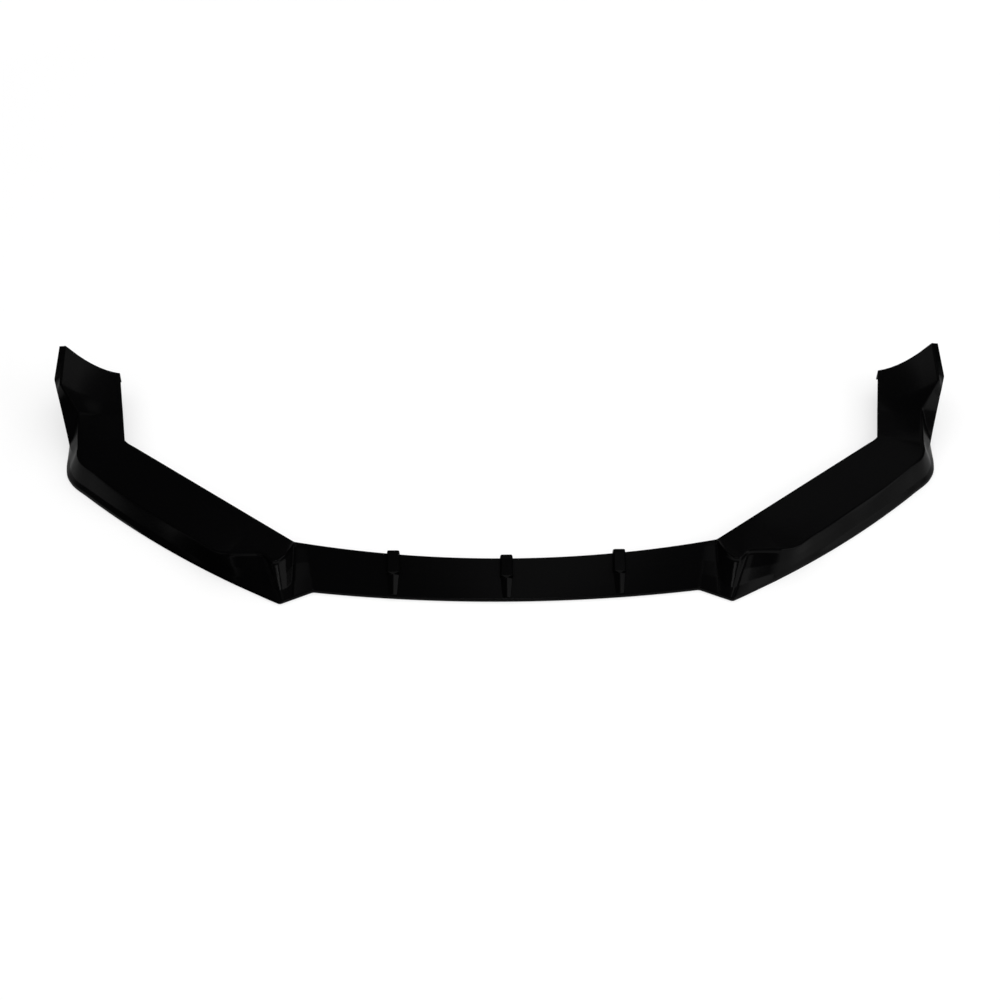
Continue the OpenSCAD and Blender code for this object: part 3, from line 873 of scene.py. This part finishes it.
@dataclass
class LipShell:
    """The thin-walled moulding itself: skin, front edge, lower flange, stiffening gussets and returns."""

    guide: LipGuide
    dish_stops: tuple[float, ...] = (0, 0.13, 0.26, 0.39, 0.52, 0.65, 0.78, 1)

    # Roundings and reaches along the section, from the inner edge round to it again
    seat_roll: float = 1.2
    crease_reach: float = 3.5
    foot_reach: float = 2.2
    canard_roll: float = 1.6
    front_roll: float = 2.6
    toe_roll: float = 1.8
    flange_r: float = 0.8
    heel: float = 3.0
    heel_roll: float = 3.0
    inner_roll: float = 1.5
    inner_crease_roll: float = 1.0
    min_stretch: float = 0.4
    cut_r: float = 0.9
    cut_angles: tuple[float, ...] = (0, 30, 60, 90)

    # Gussets, returns and screw holes
    gusset_x: tuple[float, ...] = (215.4, 504.4, 571.7, 718.9, 810.7)
    gusset_share: float = 0.7
    gusset_r: float = 0.4
    return_h: float = 22.0
    return_r: float = 0.6
    hole_d: float = 5.5
    hole_edge: float = 12.0
    hole_sides: int = 48
    drill_walls: float = 4.0
    strip_holes: tuple[float, ...] = (0.5, 1.5)
    side_holes: tuple[float, ...] = (0.5, 0.85)
    arch_hole: float = 0.5
    arch_hole_drop: float = 0.55

    def __post_init__(self) -> None:
        """Sample the skin and lay out its sections."""
        self.skin = SkinSampler(self.guide).sample()
        self.outer = self.outer_corners()
        self.inner = self.inner_corners()
        low = self.skin.guides[:, Corner.LOW.value]
        self.back = self.outer[:, 0] - low
        self.back[:, 2] = 0
        self.back = unit(self.back)

    def outer_corners(self) -> np.ndarray:
        """Corner points of the outer skin, from the inner edge to the top of the front edge.

        Returns:
            Sections by corners by 3.
        """
        guides = self.skin.guides
        seat, crease = guides[:, Corner.SEAT.value], guides[:, Corner.CREASE.value]
        low = guides[:, Corner.LOW.value]
        # The dish is a parabola across the arm, and 4 f (1 - f) is 1 at its middle.
        sag = self.skin.sag[:, None] * np.array([0.0, 0.0, 4.0])
        points = [mix(seat, crease, f) - sag * f * (1 - f) for f in self.dish_stops]
        points += [guides[:, c.value] for c in (Corner.FOOT, Corner.EDGE, Corner.ROOT)]
        back = seat - low
        back[:, 2] = 0
        points.append(low + unit(back) * self.guide.edge_lean + np.array([0, 0, self.guide.edge_h]))
        return np.stack(points, axis=1)

    def inner_corners(self) -> np.ndarray:
        """Outer corner points moved in by the wall, with the thickness kept round the creases.

        Returns:
            Sections by corners by 3.
        """
        outer = self.outer
        along = np.empty_like(outer)
        along[1:-1] = outer[2:] - outer[:-2]
        along[0], along[-1] = outer[1] - outer[0], outer[-1] - outer[-2]
        across = np.diff(outer, axis=1)
        first = np.concatenate([across[:, :1], across], axis=1)
        second = np.concatenate([across, across[:, -1:]], axis=1)
        a, b = unit(np.cross(first, along)), unit(np.cross(second, along))
        v = unit(a + b)
        v[[0, -1], :, 1] = 0
        v = unit(v)
        stretch = np.sum(v * a, axis=-1, keepdims=True)
        stretch[[0, -1]] = 1
        return outer - self.guide.wall * v / np.maximum(stretch, self.min_stretch)

    def loops(self) -> tuple[np.ndarray, int]:
        """Rounded closed sections of the shell.

        Returns:
            Sections by points by 3 in millimetres, and the number of points on the outer side.
        """
        guide = self.guide
        low, back = self.skin.guides[:, Corner.LOW.value], self.back
        up = np.array([0.0, 0.0, guide.wall])
        rear = low + back * self.skin.flange[:, None]
        foot = [low, rear, rear + up, low + back * (guide.wall + self.heel) + up]
        inner = [self.inner[:, j] for j in range(self.outer.shape[1] - 2, -1, -1)]
        corners = np.concatenate([self.outer, np.stack(foot + inner, axis=1)], axis=1)
        m, dish = self.outer.shape[1], len(self.dish_stops)
        count = corners.shape[1]
        before, after = np.full((2, len(low), count), 1.0)
        steps = [0] * count
        crease = dish - 1
        even = {0: (self.seat_roll, 3), crease + 2: (self.canard_roll, 3), crease + 3: (self.canard_roll, 3),
                m - 1: (self.front_roll, 4), m: (self.toe_roll, 3), m + 1: (self.flange_r, 2),
                m + 2: (self.flange_r, 2), m + 3: (self.heel_roll, 3), m + 4: (self.inner_roll, 2),
                m + 5: (self.inner_roll, 2), m + 6: (self.inner_crease_roll, 2),
                m + 7: (self.inner_crease_roll, 2), count - 1: (self.seat_roll, 3)}
        for j, (reach, pieces) in even.items():
            before[:, j] = after[:, j] = reach
            steps[j] = pieces
        before[:, crease], after[:, crease], steps[crease] = self.skin.roll, self.crease_reach, 5
        before[:, crease + 1], steps[crease + 1] = guide.crisp_roll, 3
        after[:, crease + 1] = np.maximum(self.skin.roll, self.foot_reach)
        outer_points = sum(s + 1 for s in steps[:m + 1])
        return rounded(corners, before, after, steps), outer_points

    def cut_rings(self, loop: np.ndarray) -> list[np.ndarray]:
        """Rings that round the wheel-arch cut, from the skin in to the flat of the cut.

        Args:
            loop: The section at the cut.

        Returns:
            The rings, from the outside in.
        """
        ahead = np.roll(loop, -1, axis=0) - np.roll(loop, 1, axis=0)
        x, z = loop[:, 0], loop[:, 2]
        turn = np.sign(np.sum(x * np.roll(z, -1) - np.roll(x, -1) * z))
        inward = unit(np.stack([-ahead[:, 2], np.zeros(len(loop)), ahead[:, 0]], axis=1)) * turn
        rings = []
        for angle in self.cut_angles:
            ring = loop + inward * self.cut_r * (1 - cos_deg(angle))
            ring[:, 1] = self.guide.arm_reach - self.cut_r * (1 - sin_deg(angle))
            rings.append(ring)
        return rings

    def shell(self) -> bpy.types.Object:
        """The bare shell as one closed mesh, its hidden side on the second material slot.

        Returns:
            The shell's object.
        """
        loops, outer_points = self.loops()
        left, right = self.cut_rings(loops[0]), self.cut_rings(loops[-1])
        rings = left[::-1] + list(loops[1:-1]) + right
        mesh = loft_mesh("lip_shell", rings)
        per_ring = len(rings[0])
        for face in mesh.polygons:
            if face.index < per_ring * (len(rings) - 1):
                face.material_index = 0 if face.index % per_ring < outer_points - 1 else 1
        return new_object("lip_shell", mesh)

    def gusset(self, i: int) -> bpy.types.Mesh:
        """Gusset in the corner between the skin and the lower flange, on one section.

        Args:
            i: Number of the section that carries it.

        Returns:
            Its closed mesh.
        """
        guide = self.guide
        low, back = self.skin.guides[i, Corner.LOW.value], self.back[i]
        half = unit(np.cross([0.0, 0.0, 1.0], back)) * guide.wall / 2
        lift = np.array([0, 0, guide.wall / 2])
        mid = (self.outer[i] + self.inner[i]) / 2
        m = self.outer.shape[1]
        heel = low + back * self.skin.flange[i] * self.gusset_share + lift
        profile = np.array([heel, low + back * guide.wall + lift, mid[m - 2], mid[m - 3], mid[m - 4]])
        mesh = loft_mesh("gusset", [profile - half, profile + half])
        softened(mesh, self.gusset_r, 1)
        return mesh

    def arch_return(self, side: Side) -> bpy.types.Mesh:
        """Return that hangs from the dished arm at the wheel-arch cut.

        Args:
            side: Which half of the lip it belongs to.

        Returns:
            Its closed mesh.
        """
        i = len(self.outer) - 1
        mid = (self.outer[i] + self.inner[i]) / 2
        rungs = []
        for j in range(len(self.dish_stops)):
            p = mid[j] * np.array([side.value, 1, 1])
            p[1] = self.guide.arm_reach
            drop, depth = point(0, 0, self.return_h), point(0, self.guide.wall, 0)
            rungs.append(np.array([p, p - depth, p - depth - drop, p - drop]))
        mesh = loft_mesh("arch_return", rungs)
        softened(mesh, self.return_r)
        return mesh

    def drill(self, at: np.ndarray, axis: str) -> bpy.types.Mesh:
        """Cylinder that a screw hole is cut with.

        Args:
            at: Middle of the hole in millimetres.
            axis: Y for a hole through an upright face, else Z.

        Returns:
            Its closed mesh.
        """
        bm = bmesh.new()
        radius = self.hole_d / 2 * MM
        bmesh.ops.create_cone(bm, cap_ends=True, segments=self.hole_sides, radius1=radius, radius2=radius,
                              depth=self.guide.wall * self.drill_walls * MM)
        if axis == "Y":
            bmesh.ops.rotate(bm, verts=bm.verts, matrix=Matrix.Rotation(math.pi / 2, 3, "X"))
        bmesh.ops.translate(bm, verts=bm.verts, vec=Vector(at) * MM)
        mesh = bpy.data.meshes.new("drill")
        bm.to_mesh(mesh)
        bm.free()
        return mesh

    def hole_points(self) -> list[np.ndarray]:
        """Middles of the screw holes in one half of the lower flange.

        Returns:
            The points, in the lip's own frame.
        """
        guide = self.guide
        points = []
        for x in [guide.fin_pitch * k for k in self.strip_holes]:
            points.append(point(x, guide.strip_front_y(x) + guide.flange_mid - self.hole_edge, 0))
        for u in self.side_holes:
            low = guide.side_point(guide.blade_x(u))
            back = unit(flat(guide.seat_at(u) - low))
            points.append(low + back * (guide.flange_side - self.hole_edge))
        return points

    def drills(self) -> list[bpy.types.Mesh]:
        """Every cylinder that the screw holes are cut with.

        Returns:
            Their meshes.
        """
        cuts = []
        mid = (self.outer[-1] + self.inner[-1]) / 2
        stops = np.array(self.dish_stops)
        arch = np.array([np.interp(self.arch_hole, stops, mid[:len(stops), k]) for k in range(3)])
        arch[2] -= self.return_h * self.arch_hole_drop
        for side in Side:
            flip = np.array([side.value, 1, 1])
            cuts += [self.drill(p * flip, "Z") for p in self.hole_points()]
            cuts.append(self.drill(arch * flip, "Y"))
        return cuts

    def gusset_sections(self) -> list[int]:
        """Numbers of the sections that carry a gusset."""
        low_x = self.skin.guides[:, Corner.LOW.value, 0]
        return [int(np.argmin(np.abs(low_x - side.value * x))) for x in self.gusset_x for side in Side]

    def build(self, fins: Fins) -> bpy.types.Object:
        """Join the shell with its fins, gussets and returns, and cut its screw holes.

        Args:
            fins: The fins of the centre strip.

        Returns:
            The finished moulding, centred as the CAD is.
        """
        shell = self.shell()
        extras = fins.solids() + [self.gusset(i) for i in self.gusset_sections()]
        extras += [self.arch_return(side) for side in Side]
        combine(shell, joined("lip_extras", extras), Cut.ADD)
        combine(shell, joined("lip_drills", self.drills()), Cut.TAKE)
        shell.data.transform(Matrix.Translation((0, -self.guide.middle_y * MM, 0)))
        return shell


def put(node: bpy.types.Node, values: dict[str, float | tuple[float, ...]]) -> None:
    """Set a node's own sockets, each by its name."""
    for name, value in values.items():
        node.inputs[name].default_value = value


def math_node(tree: bpy.types.NodeTree, operation: str, a: bpy.types.NodeSocket,
              b: bpy.types.NodeSocket | float) -> bpy.types.NodeSocket:
    """Value that a math node works out.

    Args:
        tree: The tree that gets the node.
        operation: What the node does.
        a: Its first value.
        b: Its second value, a socket or a number.

    Returns:
        The result.
    """
    node = tree.nodes.new("ShaderNodeMath")
    node.operation = operation
    tree.links.new(a, node.inputs[0])
    if isinstance(b, float):
        node.inputs[1].default_value = b
    else:
        tree.links.new(b, node.inputs[1])
    return node.outputs[0]


@dataclass(frozen=True)
class PlasticFinish:
    """A black moulded surface: its colour, its sheen and the scale of its grain."""

    name: str
    color: tuple[float, float, float, float]
    rough_low: float
    rough_high: float
    grain_scale: float
    grain_depth: float
    peel_scale: float
    peel_depth: float
    specular: float
    coat: float
    coat_rough: float
    ior: float = 1.45

    def material(self) -> bpy.types.Material:
        """Build the material round the shared moulded-surface group.

        Returns:
            The material.
        """
        mat = bpy.data.materials.new(self.name)
        mat.use_nodes = True
        nodes, links = mat.node_tree.nodes, mat.node_tree.links
        shader = nodes["Principled BSDF"]
        put(shader, {"Base Color": self.color, "IOR": self.ior, "Specular IOR Level": self.specular,
                     "Coat Weight": self.coat, "Coat Roughness": self.coat_rough})
        surface = nodes.new("ShaderNodeGroup")
        surface.node_tree = moulded_surface()
        place = nodes.new("ShaderNodeTexCoord")
        bump = nodes.new("ShaderNodeBump")
        put(bump, {"Distance": MM, "Strength": 1.0})
        put(surface, {"Rough Low": self.rough_low, "Rough High": self.rough_high,
                      "Grain Scale": self.grain_scale, "Grain Depth": self.grain_depth,
                      "Peel Scale": self.peel_scale, "Peel Depth": self.peel_depth})
        links.new(place.outputs["Object"], surface.inputs["Place"])
        links.new(surface.outputs["Roughness"], shader.inputs["Roughness"])
        links.new(surface.outputs["Height"], bump.inputs["Height"])
        links.new(bump.outputs["Normal"], shader.inputs["Normal"])
        links.new(bump.outputs["Normal"], shader.inputs["Coat Normal"])
        return mat


def moulded_surface() -> bpy.types.NodeTree:
    """Shader group of a moulded surface: fine grain, slow waviness and patches of sheen.

    Returns:
        The group, built once.
    """
    found = bpy.data.node_groups.get("moulded_surface")
    if found:
        return found
    group = bpy.data.node_groups.new("moulded_surface", "ShaderNodeTree")
    face = group.interface
    face.new_socket("Place", in_out="INPUT", socket_type="NodeSocketVector")
    for name in ("Rough Low", "Rough High", "Grain Scale", "Grain Depth", "Peel Scale", "Peel Depth"):
        face.new_socket(name, in_out="INPUT", socket_type="NodeSocketFloat")
    for name in ("Roughness", "Height"):
        face.new_socket(name, in_out="OUTPUT", socket_type="NodeSocketFloat")
    nodes, links = group.nodes, group.links
    source, sink = nodes.new("NodeGroupInput"), nodes.new("NodeGroupOutput")

    def noise(scale_from: str | float, detail: float) -> bpy.types.NodeSocket:
        """Noise over the surface, at a given scale.

        Args:
            scale_from: A socket of the group that sets the scale, or the scale itself.
            detail: How many finer layers the noise has.

        Returns:
            The noise's value.
        """
        node = nodes.new("ShaderNodeTexNoise")
        node.inputs["Detail"].default_value = detail
        links.new(source.outputs["Place"], node.inputs["Vector"])
        if isinstance(scale_from, str):
            links.new(source.outputs[scale_from], node.inputs["Scale"])
        else:
            node.inputs["Scale"].default_value = scale_from
        return node.outputs["Fac"]

    grain = math_node(group, "MULTIPLY", noise("Grain Scale", GRAIN_DETAIL), source.outputs["Grain Depth"])
    peel = math_node(group, "MULTIPLY", noise("Peel Scale", PEEL_DETAIL), source.outputs["Peel Depth"])
    sheen = nodes.new("ShaderNodeMapRange")
    put(sheen, {"From Min": SHEEN_FROM, "From Max": SHEEN_TO})
    links.new(noise(SHEEN_SCALE, SHEEN_DETAIL), sheen.inputs["Value"])
    links.new(source.outputs["Rough Low"], sheen.inputs["To Min"])
    links.new(source.outputs["Rough High"], sheen.inputs["To Max"])
    links.new(sheen.outputs["Result"], sink.inputs["Roughness"])
    links.new(math_node(group, "ADD", grain, peel), sink.inputs["Height"])
    return group


FACE_FINISH = PlasticFinish(
    "satin_black_face", color=(0.0011, 0.0011, 0.0012, 1.0), rough_low=0.3, rough_high=0.42,
    grain_scale=900.0, grain_depth=0.012, peel_scale=260.0, peel_depth=0.03,
    specular=0.01, coat=0.11, coat_rough=0.23)
BACK_FINISH = PlasticFinish(
    "matt_black_back", color=(0.006, 0.006, 0.0064, 1.0), rough_low=0.5, rough_high=0.6,
    grain_scale=700.0, grain_depth=0.03, peel_scale=160.0, peel_depth=0.04,
    specular=0.2, coat=0.0, coat_rough=0.5)


@dataclass(frozen=True)
class SoftLamp:
    """A soft area lamp."""

    name: str
    place: tuple[float, float, float]
    aim: tuple[float, float, float]
    size: tuple[float, float]
    power: float
    in_gloss: bool = True

    def build(self) -> bpy.types.Object:
        """Put the lamp into the scene, facing what it aims at.

        Returns:
            The lamp.
        """
        data = bpy.data.lights.new(self.name, "AREA")
        data.shape = "RECTANGLE"
        data.size, data.size_y = self.size
        data.energy = self.power
        lamp = bpy.data.objects.new(self.name, data)
        bpy.context.collection.objects.link(lamp)
        lamp.location = self.place
        lamp.rotation_euler = (Vector(self.aim) - Vector(self.place)).to_track_quat("-Z", "Y").to_euler()
        lamp.visible_glossy = self.in_gloss
        return lamp


def sheet(name: str, finish: str, outline: tuple[tuple[float, float], ...],
          z: float) -> tuple[bpy.types.Object, bpy.types.NodeTree]:
    """Flat sheet with a material that has no gloss.

    Args:
        name: Name of the sheet.
        finish: Name of its material.
        outline: Its corners seen from above, in metres.
        z: Its height.

    Returns:
        The sheet and its material's node tree.
    """
    mesh = bpy.data.meshes.new(name)
    mesh.from_pydata([(x, y, z) for x, y in outline], [], [tuple(range(len(outline)))])
    mat = bpy.data.materials.new(finish)
    mat.use_nodes = True
    put(mat.node_tree.nodes["Principled BSDF"], {"Specular IOR Level": 0.0})
    mesh.materials.append(mat)
    return new_object(name, mesh), mat.node_tree


@dataclass
class Studio:
    """White floor, soft lamps and the camera at the photograph's viewing angle."""

    guide: LipGuide
    floor_half: float = 60.0
    floor_gap: float = 0.0003
    floor_lift: float = 0.58
    floor_shade: float = 0.42
    floor_rough: float = 0.9
    floor_near: float = 2.0
    floor_far: float = 8.0
    world_shade: float = 0.02
    # Outline of the black card that paints a dark reflection onto the left blade
    card: tuple[tuple[float, float], ...] = (
        (-0.4, -0.31), (-0.72, -0.1), (-1.0, -0.22), (-0.7, -0.55))
    focal_px: float = 1767.4
    image_px: float = 1000.0
    sensor: float = 36.0
    distance: float = 3.4
    clip_end: float = 100.0
    elevation: float = 45.0
    aim: tuple[float, float, float] = (0.0, 0.22675, 0.04)
    turn_about: tuple[float, float, float] = (0.0, 0.25, 0.0)
    yaw: float = 1.99
    roll: float = 1.097
    shift_px: tuple[float, float] = (4.07, 0.1)
    lamps: list[SoftLamp] = field(default_factory=lambda: [
        SoftLamp("overhead", (0.0, 0.3, 8.0), (0.0, 0.3, 0.0), (20.0, 20.0), 1630.0, False),
        SoftLamp("zenith_box", (0.36, -1.0, 2.9), (0.1, -0.2, 0.0), (1.0, 0.8), 2.0),
        SoftLamp("front_box", (0.15, -3.2, 2.6), (0.0, -0.25, 0.0), (0.9, 0.6), 12.0),
        SoftLamp("right_box", (4.0, -1.8, 1.75), (0.5, -0.2, 0.0), (3.0, 3.2), 60.0),
        SoftLamp("rear_right_box", (1.9, 2.7, 4.0), (0.6, 0.0, 0.0), (2.0, 2.0), 5.7),
        SoftLamp("rear_box", (0.0, 5.0, 1.6), (0.0, 0.2, 0.0), (10.0, 1.3), 38.0),
    ])

    def floor(self) -> bpy.types.Object:
        """Large white floor under the lip, which shows as white, keeps the shadow and is clear from below.

        Returns:
            The floor.
        """
        r = self.floor_half
        floor, tree = sheet("floor", "floor_white", ((-r, -r), (r, -r), (r, r), (-r, r)), -self.floor_gap)
        nodes, links = tree.nodes, tree.links
        shader = nodes["Principled BSDF"]
        put(shader, {"Base Color": (*(self.floor_shade,) * 3, 1.0), "Roughness": self.floor_rough,
                     "Emission Color": WHITE})
        path = nodes.new("ShaderNodeLightPath")
        seen = path.outputs["Is Camera Ray"]
        for name in ("Is Glossy Ray", "Is Transmission Ray"):
            seen = math_node(tree, "MAXIMUM", seen, path.outputs[name])
        place = nodes.new("ShaderNodeTexCoord")
        reach = nodes.new("ShaderNodeVectorMath")
        reach.operation = "LENGTH"
        links.new(place.outputs["Object"], reach.inputs[0])
        spread = nodes.new("ShaderNodeMapRange")
        put(spread, {"From Min": self.floor_near, "From Max": self.floor_far,
                     "To Min": self.floor_lift, "To Max": 1.0})
        links.new(reach.outputs["Value"], spread.inputs["Value"])
        lift = math_node(tree, "MULTIPLY", seen, spread.outputs["Result"])
        links.new(lift, shader.inputs["Emission Strength"])
        clear = nodes.new("ShaderNodeBsdfTransparent")
        facing = nodes.new("ShaderNodeNewGeometry")
        blend = nodes.new("ShaderNodeMixShader")
        links.new(facing.outputs["Backfacing"], blend.inputs[0])
        links.new(shader.outputs["BSDF"], blend.inputs[1])
        links.new(clear.outputs["BSDF"], blend.inputs[2])
        links.new(blend.outputs["Shader"], nodes["Material Output"].inputs["Surface"])
        return floor

    def reflection_shade_card(self) -> bpy.types.Object:
        """Black card on the floor beside the left blade, seen in the gloss alone: a painted dark reflection
        on the left blade, hidden from the camera and casting no shadow.

        Returns:
            The card.
        """
        card, tree = sheet("reflection_shade_card", "reflection_shade_black", self.card, -self.floor_gap / 2)
        put(tree.nodes["Principled BSDF"], {"Base Color": BLACK})
        card.visible_camera = False
        card.visible_diffuse = False
        card.visible_transmission = False
        card.visible_shadow = False
        return card

    def world(self) -> None:
        """Dim even surroundings, which the camera sees as white beyond the floor."""
        world = bpy.data.worlds.new("studio")
        bpy.context.scene.world = world
        world.use_nodes = True
        tree = world.node_tree
        background = tree.nodes["Background"]
        put(background, {"Color": WHITE})
        path = tree.nodes.new("ShaderNodeLightPath")
        strength = math_node(tree, "MAXIMUM", path.outputs["Is Camera Ray"], self.world_shade)
        tree.links.new(strength, background.inputs["Strength"])

    def camera(self) -> bpy.types.Object:
        """Camera at the photograph's place, with its slight turn and tilt.

        Returns:
            The camera.
        """
        tilt = math.radians(self.elevation)
        look = np.array([0, math.cos(tilt), -math.sin(tilt)])
        up = np.array([0, math.sin(tilt), math.cos(tilt)])
        right = np.array([1.0, 0, 0])
        place = np.array(self.aim) - self.distance * look
        a = math.radians(-self.yaw)
        spin = np.array([[math.cos(a), -math.sin(a), 0], [math.sin(a), math.cos(a), 0], [0, 0, 1]])
        about = np.array(self.turn_about)
        place = spin @ (place - about) + about - np.array([0, self.guide.middle_y * MM, 0])
        r = math.radians(self.roll)
        x_axis = spin @ (right * math.cos(r) + up * math.sin(r))
        y_axis = spin @ (up * math.cos(r) - right * math.sin(r))
        z_axis = -(spin @ look)
        data = bpy.data.cameras.new("camera")
        data.sensor_width = self.sensor
        data.lens = self.focal_px / self.image_px * self.sensor
        data.shift_x = -self.shift_px[0] / self.image_px
        data.shift_y = self.shift_px[1] / self.image_px
        data.clip_end = self.clip_end
        camera = bpy.data.objects.new("camera", data)
        bpy.context.collection.objects.link(camera)
        matrix = Matrix.Identity(4)
        for column, axis in enumerate((x_axis, y_axis, z_axis, place)):
            for row in range(3):
                matrix[row][column] = axis[row]
        camera.matrix_world = matrix
        bpy.context.scene.camera = camera
        return camera

    def build(self) -> None:
        """Set up floor, world, lamps, camera and view."""
        self.floor()
        # Painted dark reflection on the left blade: a black card seen in the gloss alone
        self.reflection_shade_card()
        self.world()
        for lamp in self.lamps:
            lamp.build()
        self.camera()
        bpy.context.scene.view_settings.view_transform = "Standard"


def dress(lip: bpy.types.Object) -> None:
    """Give the moulding its finishes and even shading.

    Args:
        lip: The finished moulding.
    """
    mesh = lip.data
    mesh.materials.clear()
    for finish in (FACE_FINISH, BACK_FINISH):
        mesh.materials.append(finish.material())
    mesh.polygons.foreach_set("use_smooth", [True] * len(mesh.polygons))
    mesh.set_sharp_from_angle(angle=math.radians(SHARP_ANGLE))
    even = lip.modifiers.new("even_shading", "WEIGHTED_NORMAL")
    even.keep_sharp = True


def main() -> None:
    """Build the lip and its studio in order."""
    logging.basicConfig(level=logging.INFO, format="%(message)s")
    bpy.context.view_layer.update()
    guide = LipGuide()
    lip = LipShell(guide).build(Fins(guide))
    lip.name = "lip_moulding"
    dress(lip)
    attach(lip, BODY)
    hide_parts(CAD_NODE)
    LOG.info("%s: %d faces", lip.name, len(lip.data.polygons))
    Studio(guide).build()
    bpy.context.view_layer.update()


if __name__ == "__main__":
    main()
